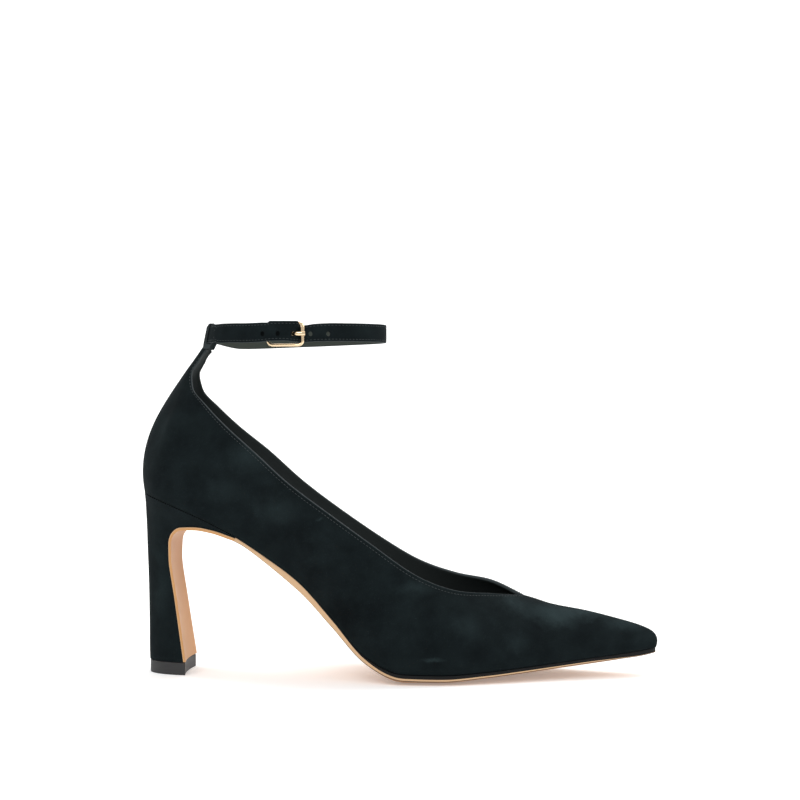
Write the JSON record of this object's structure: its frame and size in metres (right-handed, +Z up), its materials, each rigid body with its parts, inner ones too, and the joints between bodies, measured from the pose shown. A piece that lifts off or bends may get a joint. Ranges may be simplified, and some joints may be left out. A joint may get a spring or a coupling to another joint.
{
  "type": "high-heeled pump with ankle strap",
  "caption": "Right shoe: pointed suede pump with a V-cut throat, a tall neck at the back that carries a buckled ankle strap, a flared block heel and a leather sole.",
  "frame": {"origin": "middle of the bounding box, on the floor plane that the toplift and the forefoot stand on", "axes": "+X from the heel to the toe, +Y from the outer (lateral, buckled) side to the inner side, +Z up"},
  "size_m": [0.2456, 0.0762, 0.1665],
  "materials": {
    "suede": "brushed black suede with a short nap",
    "sole_leather": "smooth tan sole leather, lightly waxed",
    "toplift_rubber": "dark grey moulded rubber, matt",
    "insole_lining": "smooth black lining leather, satin",
    "pale_gold": "pale gold plating, polished"
  },
  "bodies": {
    "root": {"upper": "suede", "outsole": "sole_leather", "heel": "suede", "toplift": "toplift_rubber", "insole": "insole_lining", "ankle_strap": "suede", "buckle_frame": "pale_gold", "buckle_prong": "pale_gold"}
  },
  "joints": []
}
